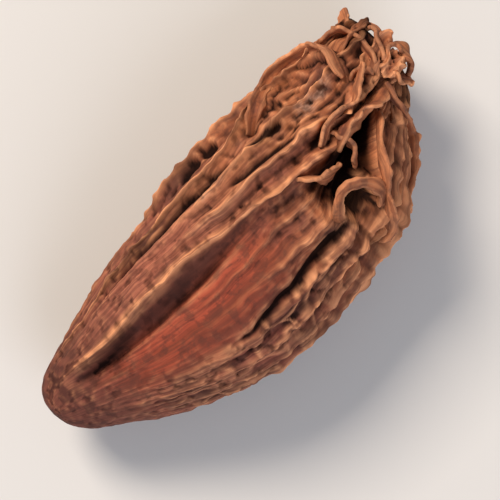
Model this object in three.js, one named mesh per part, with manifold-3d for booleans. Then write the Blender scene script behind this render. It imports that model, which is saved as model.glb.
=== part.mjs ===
// A black cardamom pod: one dried, wrinkled seed capsule that lies on its side.
//
// Millimetres. +X runs from the stalk end to the frayed crown, +Y is across the pod and +Z is up.
// The origin is on the surface that the pod rests on, under the middle of its outline.
//
// The husk is one closed surface. A smooth spindle is given a long sunken panel and a split near the
// crown, and thin wings are raised along it with furrows between them. The loose ends of the wings
// and the knot in the crown are bent ribbons that are joined to it.

import * as THREE from "three";
import { mergeVertices } from "three/addons/utils/BufferGeometryUtils.js";
import Module from "manifold-3d";

// Driving dimensions of the pod, over everything.
const POD_LENGTH = 31;
const POD_WIDTH = 13.9;

// How much of the spindle is cut away where the pod rests, and how flat the spindle is.
const REST_CUT = 0.85;
const DEPTH_TO_WIDTH = 0.86;

// The spindle's outline from the stalk end round into the pit inside the crown: distance from the
// stalk end as a share of the length, and half width as a share of the full width.
const OUTLINE = [
  [0.0, 0.0],
  [0.007, 0.078],
  [0.03, 0.145],
  [0.072, 0.2],
  [0.135, 0.26],
  [0.212, 0.33],
  [0.303, 0.395],
  [0.4, 0.439],
  [0.5, 0.458],
  [0.6, 0.458],
  [0.69, 0.43],
  [0.77, 0.375],
  [0.835, 0.313],
  [0.885, 0.25],
  [0.924, 0.178],
  [0.962, 0.135],
  [0.974, 0.1],
  [0.952, 0.055],
  [0.93, 0.027],
  [0.922, 0.0],
];

// The outline's point on the crown's rim, and how far along the pod the rim's outer side is.
const RIM_POINT = 16;
const RIM_SHARE = 0.955;

// Where the spindle's centre line bends sideways and down: a value for each fifth of the length.
const SIDE_SHIFT = [0.8, -0.5, -1.1, -0.6, -0.1, 2.8];
const HEIGHT_SHIFT = [-0.7, -0.2, 0.1, 0.1, -0.15, -0.3];

// Wings, counted round the pod from its +Y edge, over the top to the -Y edge and back underneath.
// Each has its angle in degrees and its height in millimetres at each fifth of the length, how far
// it leans over (sideways for each millimetre of height), and how deep the furrow after it is.
const TOP_WINGS = [
  {
    angle: [2, 6, 10, 12, 0, 2],
    height: [0.1, 0.3, 0.5, 0.6, 0.4, 0.5],
    lean: 0.2,
    furrow: 0.5,
  },
  {
    angle: [18, 24, 31, 38, 16, 24],
    height: [0.1, 0.45, 0.6, 0.7, 0.9, 0.6],
    lean: 0.6,
    furrow: 0.4,
  },
  {
    angle: [32, 37, 47, 54, 48, 60],
    height: [0, 0.1, 0.1, 0.45, 0.6, 0.6],
    lean: 0.4,
    furrow: 0.5,
  },
  {
    angle: [46, 49, 56, 67, 76, 118],
    height: [0, 0, 0.1, 0.7, 0.8, 0.6],
    lean: 0.4,
    furrow: 0.5,
  },
  {
    angle: [58, 63, 64, 77, 93, 130],
    height: [0.3, 0.7, 0.85, 0.75, 0.5, 0.7],
    lean: 0.6,
    furrow: 0,
  },
  {
    angle: [74, 84, 93, 98, 104, 141],
    height: [0, 0, 0.12, 0.4, 0, 0.3],
    lean: -0.2,
    furrow: 0.25,
  },
  {
    angle: [92, 100, 106, 111, 114, 150],
    height: [0, 0, 0.12, 0.45, 0, 0.5],
    lean: 0.3,
    furrow: 0.45,
  },
  {
    angle: [110, 118, 127, 131, 130, 158],
    height: [0.1, 0.2, 0.3, 0.35, 0.6, 0.6],
    lean: 0.5,
    furrow: 0.5,
  },
  {
    angle: [128, 134, 142, 145, 143, 167],
    height: [0.1, 0.2, 0.3, 0.5, 0.75, 0.6],
    lean: 0.3,
    furrow: 0.9,
  },
  {
    angle: [146, 150, 157, 159, 155, 174],
    height: [0.1, 0.2, 0.3, 0.5, 0.75, 0.6],
    lean: -0.3,
    furrow: 0.9,
  },
  {
    angle: [164, 166, 171, 173, 168, 179],
    height: [0.1, 0.2, 0.35, 0.6, 0.8, 0.6],
    lean: 0.2,
    furrow: 0.7,
  },
];

// The wing beside the panel, by number, wanders less than the others: to this share.
const STEADY_WING = 4;
const STEADY_SWING = 0.3;

const UNDER_WING_COUNT = 7;
const UNDER_WINGS_FROM = 170;
const UNDER_WINGS_TO = 366;
const UNDER_WING_HEIGHT = [0.1, 0.3, 0.55, 0.75, 0.9, 0.6];
const UNDER_WING_TURN = [-4, -2, 0, 1, 0, -3];
const UNDER_FURROW = 0.6;
const WING_HALF_THICKNESS = 0.3;

// Wings and hollows fade out at both ends, where the spindle's half width is under this share.
const FADE_HALF_WIDTH = 0.12;

// How deep the furrows are along the pod, as a share of their full depth.
const FURROW_PROFILE = [0, 0.1, 0.45, 0.8, 1.0, 0.2];

// Broad forms on the spindle: centre angle and half width in degrees, height in millimetres (a
// hollow is negative), and the stretch of the length that it covers.
const BROAD_FORMS = [
  // The sunken panel: its whole width, its steep side, and its two ends.
  { angle: 89, halfWidth: 20, height: -1.1, from: 0.06, to: 0.68 },
  { angle: 74, halfWidth: 7, height: -0.7, from: 0.06, to: 0.6 },
  { angle: 92, halfWidth: 12, height: -0.5, from: 0.45, to: 0.72 },
  { angle: 80, halfWidth: 12, height: -0.55, from: 0.068, to: 0.2 },
  // The raised band beside the panel.
  { angle: 50, halfWidth: 14, height: 0.4, from: 0.04, to: 0.6 },
  // The split, and the slot that runs on from it to the crown.
  { angle: 104, halfWidth: 15, height: -2.2, from: 0.63, to: 0.87 },
  { angle: 109, halfWidth: 10, height: -1.4, from: 0.66, to: 0.93 },
  // The hole under the loop.
  { angle: 124, halfWidth: 9, height: -1.6, from: 0.675, to: 0.757 },
  // A dent on the shoulder, and two dents underneath.
  { angle: 48, halfWidth: 9, height: -0.5, from: 0.72, to: 0.86 },
  { angle: 212, halfWidth: 15, height: -0.7, from: 0.12, to: 0.72 },
  { angle: 328, halfWidth: 14, height: -0.75, from: 0.2, to: 0.8 },
];

// Loose ribbons: points of [share of the length, angle in degrees, height over the spindle], with
// the width of the ribbon and whether it stands on edge or lies flat.
const RIBBONS = [
  // The loop beside the split.
  {
    onEdge: false,
    width: 0.8,
    path: [
      [0.667, 122, -0.3], [0.675, 113, 0.5], [0.694, 107, 0.9], [0.729, 108, 1.1], [0.757, 118, 1.0],
      [0.762, 131, 0.8], [0.742, 150, -0.1],
    ],
  },
  // The outer edge of the split, and its two lips.
  {
    onEdge: true,
    width: 1.1,
    path: [
      [0.78, 174, 0.1], [0.83, 180, 0.6], [0.87, 181, 0.8], [0.893, 181, 0.7], [0.906, 160, 0.7],
      [0.91, 135, 0.7], [0.92, 121, 0.4],
    ],
  },
  {
    onEdge: true,
    width: 1.1,
    path: [
      [0.69, 156, 0.1], [0.72, 152, 0.7], [0.75, 142, 0.9], [0.78, 130, 1.0], [0.81, 122, 0.9],
      [0.84, 116, 0.6], [0.87, 115, 0.0],
    ],
  },
  {
    onEdge: true,
    width: 1.0,
    path: [
      [0.76, 91, -0.4], [0.79, 90, 0.4], [0.82, 90, 0.6], [0.85, 96, 0.5], [0.88, 108, 0.5],
      [0.91, 120, 0.4],
    ],
  },
  // The strand above the split, and the hook on the shoulder.
  {
    onEdge: true,
    width: 1.0,
    path: [[0.74, 83, 0.0], [0.79, 78, 0.6], [0.842, 86, 0.7], [0.88, 86, 0.7], [0.915, 86, 0.4]],
  },
  {
    onEdge: true,
    width: 1.0,
    path: [
      [0.66, 42, -0.2], [0.7, 35, 0.5], [0.745, 23, 0.8], [0.8, 10, 0.9], [0.85, 19, 0.9],
      [0.882, 36, 1.0], [0.885, 55, 1.1], [0.872, 72, 0.3],
    ],
  },
];

// The arms of the crown's knot, and torn bits over the split. They stand on edge along points of
// [x, y, z] in millimetres from the middle of the length and the centre line.
const CURLS = [
  // One arm back over the shoulder, one up, two to the tip and one down.
  [[13.2, 1.0, 2.0], [12.7, 1.6, 2.4], [12.0, 1.8, 2.4], [11.5, 1.3, 2.1]],
  [
    [13.5, 1.3, 1.9], [13.8, 2.4, 1.8], [14.0, 3.4, 1.5], [13.6, 4.3, 1.3], [12.7, 4.7, 1.1],
    [11.6, 4.7, 0.9],
  ],
  [[13.9, 1.2, 1.8], [14.7, 2.3, 1.6], [15.1, 3.0, 1.2], [14.7, 3.5, 0.9]],
  [[13.9, 1.0, 1.7], [14.9, 1.6, 1.6], [15.4, 1.0, 1.3], [15.1, -0.1, 1.0], [14.4, -0.5, 0.9]],
  [[13.6, 0.4, 1.7], [13.9, -0.4, 1.4], [14.2, -1.0, 0.9]],
  // Torn bits over the split.
  [[5.0, 0.0, 5.0], [5.8, -0.8, 5.2], [6.6, -1.2, 4.9], [7.4, -1.2, 4.2]],
  [[8.7, 0.4, 4.1], [9.0, -0.5, 4.5], [8.7, -1.3, 4.3], [8.1, -1.9, 3.7]],
];

// The lump that the arms of the knot grow from: its middle, and its half sizes.
const KNOT_MIDDLE = [13.9, 0.8, 1.55];
const KNOT_SIZE = [1.1, 0.95, 0.6];

const CURL_WIDTH = 1.0;
const RIBBON_THICKNESS = 0.6;

// Curled tips that stand round the rim of the crown.
const CROWN_TIP_COUNT = 8;
const CROWN_TIP_WIDTH = 1.25;

// Mesh density: rows from end to end, columns as shares of the way from a wing to the next one, steps
// along a ribbon, sides of the knot, the size in millimetres under which a detail is left out, and
// the distance under which two points are one.
const ROWS = 54;
const COLUMN_SPOTS = [0, 0.15, 0.38, 0.62, 0.85];
const RIBBON_STEPS = 8;
const KNOT_SIDES = 10;
const SMALLEST_DETAIL = 0.02;
const SAME_POINT = 1e-4;

const DEGREES = Math.PI / 180;

const HUSK_COLOUR = "#7d4a36";

// A repeatable number from 0 to 1 for two whole numbers.
function chance(a, b) {
  const value = Math.sin(a * 12.9898 + b * 78.233) * 43758.5453;
  return value - Math.floor(value);
}

// A smooth wander of about -1 to 1 along the pod, different for each seed.
function wander(seed, share) {
  let sum = 0;
  for (let octave = 1; octave <= 3; octave++) {
    const cycles = 1.7 * octave * octave + chance(seed, octave + 7);
    sum += Math.sin(2 * Math.PI * (cycles * share + chance(seed, octave))) / octave;
  }
  return sum / 1.4;
}

// The value at a share of the length, on a smooth curve through evenly spaced values.
function along(values, share) {
  const last = values.length - 1;
  const place = THREE.MathUtils.clamp(share, 0, 1) * last;
  const index = Math.min(Math.floor(place), last - 1);
  const pick = (i) => values[THREE.MathUtils.clamp(i, 0, last)];
  const [before, start, end, after] = [-1, 0, 1, 2].map((step) => pick(index + step));
  const t = place - index;
  const slopeIn = (end - before) / 2;
  const slopeOut = (after - start) / 2;
  return start + t * (slopeIn + t * (3 * (end - start) - 2 * slopeIn - slopeOut
    + t * (slopeIn + slopeOut - 2 * (end - start))));
}

// 1 in the middle of a stretch of the length, falling smoothly to 0 at its ends.
function stretch(share, from, to) {
  const rise = THREE.MathUtils.smoothstep(share, from, from + 0.35 * (to - from));
  const fall = THREE.MathUtils.smoothstep(share, to - 0.3 * (to - from), to);
  return rise * (1 - fall);
}

// The wings underneath are spread evenly, with a little chance in their places.
function underWings() {
  const wings = [];
  const gap = (UNDER_WINGS_TO - UNDER_WINGS_FROM) / (UNDER_WING_COUNT + 1);
  for (let i = 1; i <= UNDER_WING_COUNT; i++) {
    const middle = UNDER_WINGS_FROM + gap * i + 6 * (chance(i, 3) - 0.5);
    const angle = UNDER_WING_TURN.map((turn) => middle + turn);
    wings.push({ angle, height: UNDER_WING_HEIGHT, lean: chance(i, 4) - 0.5, furrow: UNDER_FURROW });
  }
  return wings;
}

const WINGS = [...TOP_WINGS, ...underWings()];

function wingNumber(index) {
  return index % WINGS.length;
}

function wingAngle(index, share) {
  const number = wingNumber(index);
  const turns = (index - number) / WINGS.length;
  const steadiness = number === STEADY_WING ? STEADY_SWING : 1;
  const swing = steadiness * (0.8 + 1.6 * share) * Math.min(1, 12 * share);
  return 360 * turns + along(WINGS[number].angle, share) + swing * wander(number, share);
}

function wingHeight(index, share) {
  const number = wingNumber(index);
  const teeth = Math.sin(2 * Math.PI * ((9 + 3 * chance(number, 5)) * share + wander(number + 60, share)));
  const uneven = 0.85 + 0.28 * wander(number + 40, 1.8 * share) + 0.12 * share * teeth;
  return Math.max(0, along(WINGS[number].height, share) * uneven);
}

// How much of its height a wing has at a distance from its edge.
function wingProfile(distance) {
  return 1 / (1 + (distance / WING_HALF_THICKNESS) ** 2.5);
}

const outlineCurve = new THREE.SplineCurve(
  OUTLINE.map(([share, half]) => new THREE.Vector2(share, half)),
);

// How far the spindle's half width is raised or sunk at an angle, before the wings.
function broadRelief(share, angle) {
  let height = 0;
  for (const form of BROAD_FORMS) {
    const away = (angle - form.angle) / form.halfWidth;
    height += form.height * Math.exp(-(away ** 4)) * stretch(share, form.from, form.to);
  }
  return height;
}

// The point of the pod at a share of the length, with a given half width, angle and extra height.
function podPoint(share, half, angle, extra) {
  const radius = half * POD_WIDTH + extra;
  const lobes = 1 + 0.02 * Math.cos(3 * (angle - 75) * DEGREES);
  return new THREE.Vector3(
    (share - 0.5) * POD_LENGTH,
    along(SIDE_SHIFT, share) + radius * lobes * Math.cos(angle * DEGREES),
    along(HEIGHT_SHIFT, share) + radius * lobes * DEPTH_TO_WIDTH * Math.sin(angle * DEGREES),
  );
}

// The spindle's half width outside the crown's rim, by bisection of the outline's outer part.
function halfWidthAt(share) {
  let low = 0;
  let high = (RIM_POINT - 0.5) / (OUTLINE.length - 1);
  for (let i = 0; i < 24; i++) {
    const middle = (low + high) / 2;
    if (outlineCurve.getPoint(middle).x < share) low = middle;
    else high = middle;
  }
  return outlineCurve.getPoint(low).y;
}

// The point of the husk at a row of the outline and a column round it.
function huskPoint(row, column) {
  const { x: share, y: half } = outlineCurve.getPoint(row / ROWS);
  const spots = COLUMN_SPOTS.length;
  const wing = Math.floor(column / spots);
  const spot = COLUMN_SPOTS[column % spots];
  const here = wingAngle(wing, share);
  const next = wingAngle(wing + 1, share);
  const angle = here + (next - here) * spot;
  if (row === 0 || row === ROWS) return podPoint(share, 0, angle, 0);
  if (row / ROWS > RIM_POINT / (OUTLINE.length - 1)) return podPoint(share, half, angle, 0);

  const radius = half * POD_WIDTH;
  const reach = radius * DEGREES * (next - here);
  const nearEnd = THREE.MathUtils.smoothstep(half, 0, FADE_HALF_WIDTH);
  const left = nearEnd * wingHeight(wing, share) * wingProfile(spot * reach);
  const right = nearEnd * wingHeight(wing + 1, share) * wingProfile((1 - spot) * reach);
  const { lean: leftLean, furrow: depth } = WINGS[wing];
  const { lean: rightLean } = WINGS[wingNumber(wing + 1)];
  const furrow = depth * along(FURROW_PROFILE, share) * Math.sin(Math.PI * spot) ** 2;
  const extra = left + right + nearEnd * (broadRelief(share, angle) - furrow);
  const lean = (left * leftLean + right * rightLean) / (radius * DEGREES);
  return podPoint(share, half, angle + lean, extra);
}

// The husk: a sphere whose rows follow the outline and whose columns follow the wings.
function huskGeometry() {
  const columns = WINGS.length * COLUMN_SPOTS.length;
  const sphere = new THREE.SphereGeometry(1, columns, ROWS);
  const position = sphere.getAttribute("position");
  const uv = sphere.getAttribute("uv");
  for (let i = 0; i < position.count; i++) {
    const row = Math.round((1 - uv.getY(i)) * ROWS);
    const column = Math.round((1 - uv.getX(i)) * columns) % columns;
    const point = huskPoint(row, column);
    position.setXYZ(i, point.x, point.y, point.z);
  }
  return sphere;
}

// A ribbon: a thin box whose length is bent along a curve. It stands on edge or lies flat, as seen
// from the points in the pod that it faces.
function ribbonGeometry({ points, faces, width, onEdge, taper }) {
  const curve = new THREE.CatmullRomCurve3(points);
  const inner = new THREE.CatmullRomCurve3(faces);
  const box = new THREE.BoxGeometry(1, 1, 1, RIBBON_STEPS, 1, 1);
  const position = box.getAttribute("position");
  for (let i = 0; i < position.count; i++) {
    const t = position.getX(i) + 0.5;
    const centre = curve.getPoint(t);
    const tangent = curve.getTangent(t);
    const out = centre.clone().sub(inner.getPoint(t));
    out.addScaledVector(tangent, -out.dot(tangent)).normalize();
    const side = new THREE.Vector3().crossVectors(tangent, out);
    const broad = width * taper(t);
    const outward = position.getZ(i) * (onEdge ? broad : RIBBON_THICKNESS);
    const sideways = position.getY(i) * (onEdge ? RIBBON_THICKNESS : broad);
    centre.addScaledVector(out, outward).addScaledVector(side, -sideways);
    position.setXYZ(i, centre.x, centre.y, centre.z);
  }
  return box;
}

// Ribbons that leave the husk and come back to it narrow a little at both ends.
function narrowEnds(t) {
  return 1 - 0.4 * (2 * t - 1) ** 4;
}

function narrowTip(t) {
  return 1 - 0.5 * t * t;
}

// A ribbon along points of [share of the length, angle, height over the spindle].
function ribbonOverHusk({ path, width, onEdge, taper }) {
  const points = path.map(([share, angle, height]) => {
    const half = halfWidthAt(Math.min(share, RIM_SHARE));
    return podPoint(share, half, angle, height);
  });
  const faces = path.map(([share, angle]) => podPoint(share, 0, angle, 0));
  return ribbonGeometry({ points, faces, width, onEdge, taper });
}

function looseRibbon(ribbon) {
  return ribbonOverHusk({ ...ribbon, taper: narrowEnds });
}

function curl(path) {
  const points = path.map(([x, y, z]) => new THREE.Vector3(x, y, z));
  const faces = points.map((point) => point.clone().setZ(point.z - POD_WIDTH));
  return ribbonGeometry({ points, faces, width: CURL_WIDTH, onEdge: true, taper: narrowEnds });
}

function knot() {
  const lump = new THREE.SphereGeometry(1, KNOT_SIDES, KNOT_SIDES / 2);
  return lump.scale(...KNOT_SIZE).translate(...KNOT_MIDDLE);
}

// One of the tips round the crown: it leaves the shoulder as a rib, stands up past the rim and
// bends outwards or leans in over the pit.
function crownTip(number) {
  const angle = (360 * (number + 0.4 * chance(number, 11))) / CROWN_TIP_COUNT;
  const turn = chance(number, 14) > 0.5 ? 1 : -1;
  const top = 0.965 + 0.035 * chance(number, 13);
  const bend = chance(number, 12) > 0.4 ? 0.2 : -0.35;
  const path = [
    [0.87, angle - 6 * turn, -0.3],
    [0.915, angle, 0.25],
    [0.945, angle + 4 * turn, 0.2],
    [top - 0.012, angle + 10 * turn, 0.2 + bend],
    [top, angle + 18 * turn, 0.2 + 1.8 * bend],
  ];
  return ribbonOverHusk({ path, width: CROWN_TIP_WIDTH, onEdge: false, taper: narrowTip });
}

const wasm = await Module();
wasm.setup();

function solidOf(geometry) {
  const bare = geometry.clone();
  bare.deleteAttribute("normal");
  bare.deleteAttribute("uv");
  const merged = mergeVertices(bare, SAME_POINT);
  const triVerts = new Uint32Array(merged.index.array);
  const vertProperties = merged.getAttribute("position").array;
  return new wasm.Manifold(new wasm.Mesh({ numProp: 3, vertProperties, triVerts }));
}

function geometryOf(solid) {
  const mesh = solid.getMesh();
  const geometry = new THREE.BufferGeometry();
  geometry.setAttribute("position", new THREE.BufferAttribute(mesh.vertProperties, 3));
  geometry.setIndex(new THREE.BufferAttribute(mesh.triVerts, 1));
  return geometry;
}

function podGeometry() {
  let pod = solidOf(huskGeometry());
  for (const ribbon of RIBBONS) pod = pod.add(solidOf(looseRibbon(ribbon)));
  for (const path of CURLS) pod = pod.add(solidOf(curl(path)));
  for (let i = 0; i < CROWN_TIP_COUNT; i++) pod = pod.add(solidOf(crownTip(i)));
  pod = pod.add(solidOf(knot()));

  // A slab below the resting plane takes a thin slice off the underside.
  const belly = pod.boundingBox();
  const floor = belly.min[2] + REST_CUT;
  const slab = new THREE.BoxGeometry(2 * POD_LENGTH, 2 * POD_WIDTH, POD_WIDTH);
  slab.translate(0, 0, floor - POD_WIDTH / 2);
  pod = pod.subtract(solidOf(slab)).simplify(SMALLEST_DETAIL);

  // Small hollows that the ribbons close off are filled: only the pod's outer skin is kept.
  pod = pod.decompose().reduce((largest, shell) => (shell.volume() > largest.volume() ? shell : largest));

  // The origin goes under the middle of the outline, on the resting plane.
  const box = pod.boundingBox();
  const geometry = geometryOf(pod);
  geometry.translate(-(box.min[0] + box.max[0]) / 2, -(box.min[1] + box.max[1]) / 2, -floor);
  return geometry;
}

const husk = new THREE.MeshStandardMaterial({ color: HUSK_COLOUR, roughness: 0.8, metalness: 0 });
const pod = new THREE.Mesh(podGeometry(), husk);
pod.name = "pod";

const blackCardamomPod = new THREE.Group();
blackCardamomPod.add(pod);

export default blackCardamomPod;
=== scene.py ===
"""The looks of a dried black cardamom pod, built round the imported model.

The husk is one skin over the whole pod, with the same outline, wings, panel and split as the solid, and
with the wrinkles, torn wing edges and net of veins that the solid leaves out. Loose strips of husk, the
knot in the crown and its curled tips are pieces of their own, because they stand clear of the skin.

Shapes are worked out in millimetres, in the model's own frame, and are written to the meshes in metres.
"""

import math

import bpy
import numpy as np
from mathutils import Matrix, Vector, noise


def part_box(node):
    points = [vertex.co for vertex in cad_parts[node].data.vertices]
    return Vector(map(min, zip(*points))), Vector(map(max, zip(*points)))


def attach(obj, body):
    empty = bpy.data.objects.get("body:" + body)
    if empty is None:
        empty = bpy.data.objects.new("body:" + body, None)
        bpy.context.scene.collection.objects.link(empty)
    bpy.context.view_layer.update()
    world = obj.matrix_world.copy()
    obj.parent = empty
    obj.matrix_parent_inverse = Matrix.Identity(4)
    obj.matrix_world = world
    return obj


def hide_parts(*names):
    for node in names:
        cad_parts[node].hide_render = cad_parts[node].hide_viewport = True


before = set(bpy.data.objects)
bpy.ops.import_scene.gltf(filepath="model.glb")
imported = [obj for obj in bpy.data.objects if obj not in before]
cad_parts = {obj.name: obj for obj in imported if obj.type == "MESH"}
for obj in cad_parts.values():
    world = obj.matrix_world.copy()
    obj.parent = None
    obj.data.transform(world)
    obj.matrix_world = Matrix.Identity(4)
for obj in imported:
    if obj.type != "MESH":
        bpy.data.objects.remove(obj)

bl_info = {
    "name": "Black Cardamom Pod",
    "version": (1, 0, 0),
    "blender": (4, 5, 0),
    "location": "3D Viewport > Sidebar > Cardamom",
    "description": "Makes a dried black cardamom pod with its husk, loose strips, crown and stage",
    "category": "Add Mesh",
}

# The CAD node that every piece here stands for, and its body.
NODE = "pod"
BODY = "root"

MM = 0.001
CAD_LOW, CAD_HIGH = (np.array(corner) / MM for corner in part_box(NODE))

# The husk's length and width in millimetres, its depth as a share of its width, and where the middle of
# its length lies in the model's frame.
POD_LENGTH = 31.0
POD_WIDTH = 13.9
DEPTH_TO_WIDTH = 0.86
SHIFT = np.array((-0.114, 0.907, 5.087))

# The three chambers inside swell the husk a little: by this share, the first at this angle in degrees.
LOBE_SHARE = 0.02
LOBE_ANGLE = 75

# The outline from the stalk end round into the pit inside the crown: distance from the stalk end as a
# share of the length, and half width as a share of the full width.
OUTLINE = np.array([
    (0.0, 0.0), (0.007, 0.078), (0.03, 0.145), (0.072, 0.2), (0.135, 0.26), (0.212, 0.33), (0.303, 0.395),
    (0.4, 0.439), (0.5, 0.458), (0.6, 0.458), (0.69, 0.43), (0.77, 0.375), (0.835, 0.313), (0.885, 0.25),
    (0.924, 0.178), (0.962, 0.135), (0.974, 0.1), (0.952, 0.055), (0.93, 0.027), (0.922, 0.0),
])
RIM_POINT = 16
RIM_SHARE = 0.955

# Where the centre line bends sideways and down, in millimetres: a value for each fifth of the length.
SIDE_SHIFT = (0.8, -0.5, -1.1, -0.6, -0.1, 2.8)
HEIGHT_SHIFT = (-0.7, -0.2, 0.1, 0.1, -0.15, -0.3)

# Wings, counted round the pod from its +Y edge, over the top to the -Y edge and back underneath. Each
# has its angle in degrees and its height in millimetres at each fifth of the length, how far it leans
# over, and how deep the furrow after it is near the crown.
TOP_WINGS = (
    ((2, 6, 10, 12, 0, 2), (0.1, 0.3, 0.5, 0.6, 0.4, 0.5), 0.2, 0.5),
    ((18, 24, 31, 38, 16, 24), (0.1, 0.45, 0.6, 0.7, 0.9, 0.6), 0.6, 0.4),
    ((32, 37, 47, 54, 48, 60), (0, 0.1, 0.1, 0.45, 0.6, 0.6), 0.4, 0.5),
    ((46, 49, 56, 67, 76, 118), (0, 0, 0.1, 0.7, 0.8, 0.6), 0.4, 0.5),
    ((58, 63, 64, 77, 93, 130), (0.3, 0.7, 0.85, 0.75, 0.5, 0.7), 0.6, 0.0),
    ((74, 84, 93, 98, 104, 141), (0, 0, 0.12, 0.4, 0, 0.3), -0.2, 0.25),
    ((92, 100, 106, 111, 114, 150), (0, 0, 0.12, 0.45, 0, 0.5), 0.3, 0.45),
    ((110, 118, 127, 131, 130, 158), (0.1, 0.2, 0.3, 0.35, 0.6, 0.6), 0.5, 0.5),
    ((128, 134, 142, 145, 143, 167), (0.1, 0.2, 0.3, 0.5, 0.75, 0.6), 0.3, 0.9),
    ((146, 150, 157, 159, 155, 174), (0.1, 0.2, 0.3, 0.5, 0.75, 0.6), -0.3, 0.9),
    ((164, 166, 171, 173, 168, 179), (0.1, 0.2, 0.35, 0.6, 0.8, 0.6), 0.2, 0.7),
)

# The wing beside the panel, by number, wanders less than the others: to this share.
STEADY_WING = 4
STEADY_SWING = 0.3

# The wings underneath: how many, between which angles, their height and the furrows between them.
UNDER_WING_COUNT = 7
UNDER_WINGS_FROM = 170
UNDER_WINGS_TO = 366
UNDER_WING_HEIGHT = (0.1, 0.3, 0.55, 0.75, 0.9, 0.6)
UNDER_FURROW = 0.6

# How deep the furrows are along the pod, as a share of their depth near the crown.
FURROW_PROFILE = (0, 0.1, 0.45, 0.8, 1.0, 0.2)

# Half a wing's thickness, the part of its height that is its thin torn edge, half that edge's thickness,
# and half the width of the pale rubbed line along it.
WING_HALF_THICKNESS = 0.3
EDGE_SHARE = 0.45
EDGE_HALF_THICKNESS = 0.14
RUBBED_HALF_WIDTH = 0.21

# The wings on the flank that the light shows as a net, by number, and how much lower they are there.
FLANK_WINGS = (7, 10)
FLANK_CALM = 0.55

# Broad forms: centre angle and half width in degrees, height in millimetres (a hollow is negative), and
# the stretch of the length that each covers.
BROAD_FORMS = (
    (89, 20, -1.1, 0.06, 0.68),
    (74, 7, -0.7, 0.06, 0.6),
    (92, 12, -0.5, 0.45, 0.72),
    (80, 12, -0.55, 0.068, 0.2),
    (50, 14, 0.4, 0.04, 0.6),
    (104, 15, -2.2, 0.63, 0.87),
    (109, 10, -1.4, 0.66, 0.93),
    (124, 9, -1.6, 0.675, 0.757),
    (48, 9, -0.5, 0.72, 0.86),
    (212, 15, -0.7, 0.12, 0.72),
    (328, 14, -0.75, 0.2, 0.8),
)

# Slits and pits torn in the husk: the angles at their two ends, half width, height, and the stretch.
SLITS = (
    (34, 46, 3.2, -0.6, 0.23, 0.6),
    (20, 20, 3.5, -0.4, 0.5, 0.57),
    (21, 22, 4, -0.5, 0.565, 0.61),
    (27, 28, 5, -0.5, 0.62, 0.67),
    (51, 51, 3, -0.5, 0.64, 0.73),
    (59, 65, 2.5, -0.4, 0.56, 0.73),
    (78, 78, 3, -0.4, 0.72, 0.85),
    (72, 69, 6, -0.2, 0.072, 0.24),
    (161, 161, 5, -0.9, 0.62, 0.72),
    (121, 127, 2.5, -0.5, 0.34, 0.7),
    (124, 124, 7, -0.9, 0.68, 0.752),
    (132, 132, 6, -0.35, 0.685, 0.75),
)

# Loose strips: points of (share of the length, angle in degrees, height in millimetres over the husk).
LOOP_PATH = ((0.667, 122, -0.3), (0.675, 113, 0.5), (0.694, 107, 0.9), (0.729, 108, 1.1),
             (0.757, 118, 1.0), (0.762, 131, 0.8), (0.742, 150, -0.1))
SHOULDER_PATHS = (
    # The outer edge of the split, and its two lips.
    ((0.78, 174, 0.1), (0.83, 180, 0.6), (0.87, 181, 0.8), (0.893, 181, 0.7), (0.906, 160, 0.7),
     (0.91, 135, 0.7), (0.92, 121, 0.4)),
    ((0.69, 156, 0.1), (0.72, 152, 0.7), (0.75, 142, 0.9), (0.78, 130, 1.0), (0.81, 122, 0.9),
     (0.84, 116, 0.6), (0.87, 115, 0.0)),
    ((0.76, 91, -0.4), (0.79, 90, 0.4), (0.82, 90, 0.6), (0.85, 96, 0.5), (0.88, 108, 0.5),
     (0.91, 120, 0.4)),
    # The strand above the split, and the hook on the shoulder.
    ((0.74, 83, 0.0), (0.79, 78, 0.6), (0.842, 86, 0.7), (0.88, 86, 0.7), (0.915, 86, 0.4)),
    ((0.66, 42, -0.2), (0.7, 35, 0.5), (0.745, 23, 0.8), (0.8, 10, 0.9), (0.85, 19, 0.9),
     (0.882, 36, 1.0), (0.885, 55, 1.1), (0.872, 72, 0.3)),
)
CROWN_TIP_COUNT = 8

# The curls: points of (x, y, z) in millimetres from the middle of the length and the centre line.
CURLS = (
    # The arms of the crown's knot: one back over the shoulder, one up, two to the tip and one down.
    ((13.2, 1.0, 2.0), (12.7, 1.6, 2.4), (12.0, 1.8, 2.4), (11.5, 1.3, 2.1)),
    ((13.5, 1.3, 1.9), (13.8, 2.4, 1.8), (14.0, 3.4, 1.5), (13.6, 4.3, 1.3), (12.7, 4.7, 1.1),
     (11.6, 4.7, 0.9)),
    ((13.9, 1.2, 1.8), (14.7, 2.3, 1.6), (15.1, 3.0, 1.2), (14.7, 3.5, 0.9)),
    ((13.9, 1.0, 1.7), (14.9, 1.6, 1.6), (15.4, 1.0, 1.3), (15.1, -0.1, 1.0), (14.4, -0.5, 0.9)),
    ((13.6, 0.4, 1.7), (13.9, -0.4, 1.4), (14.2, -1.0, 0.9)),
    # Torn bits over the split.
    ((5.0, 0.0, 5.0), (5.8, -0.8, 5.2), (6.6, -1.2, 4.9), (7.4, -1.2, 4.2)),
    ((8.7, 0.4, 4.1), (9.0, -0.5, 4.5), (8.7, -1.3, 4.3), (8.1, -1.9, 3.7)),
)
# The lump that the arms of the knot grow from: its middle, and its half sizes.
KNOT_MIDDLE = (13.9, 0.8, 1.55)
KNOT_SIZE = (1.1, 0.95, 0.6)

# The strips' widths in millimetres.
LOOP_WIDTH = 0.7
STRIP_WIDTH = 1.1
TIP_WIDTH = 1.3
CURL_WIDTH = 1.0

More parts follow.
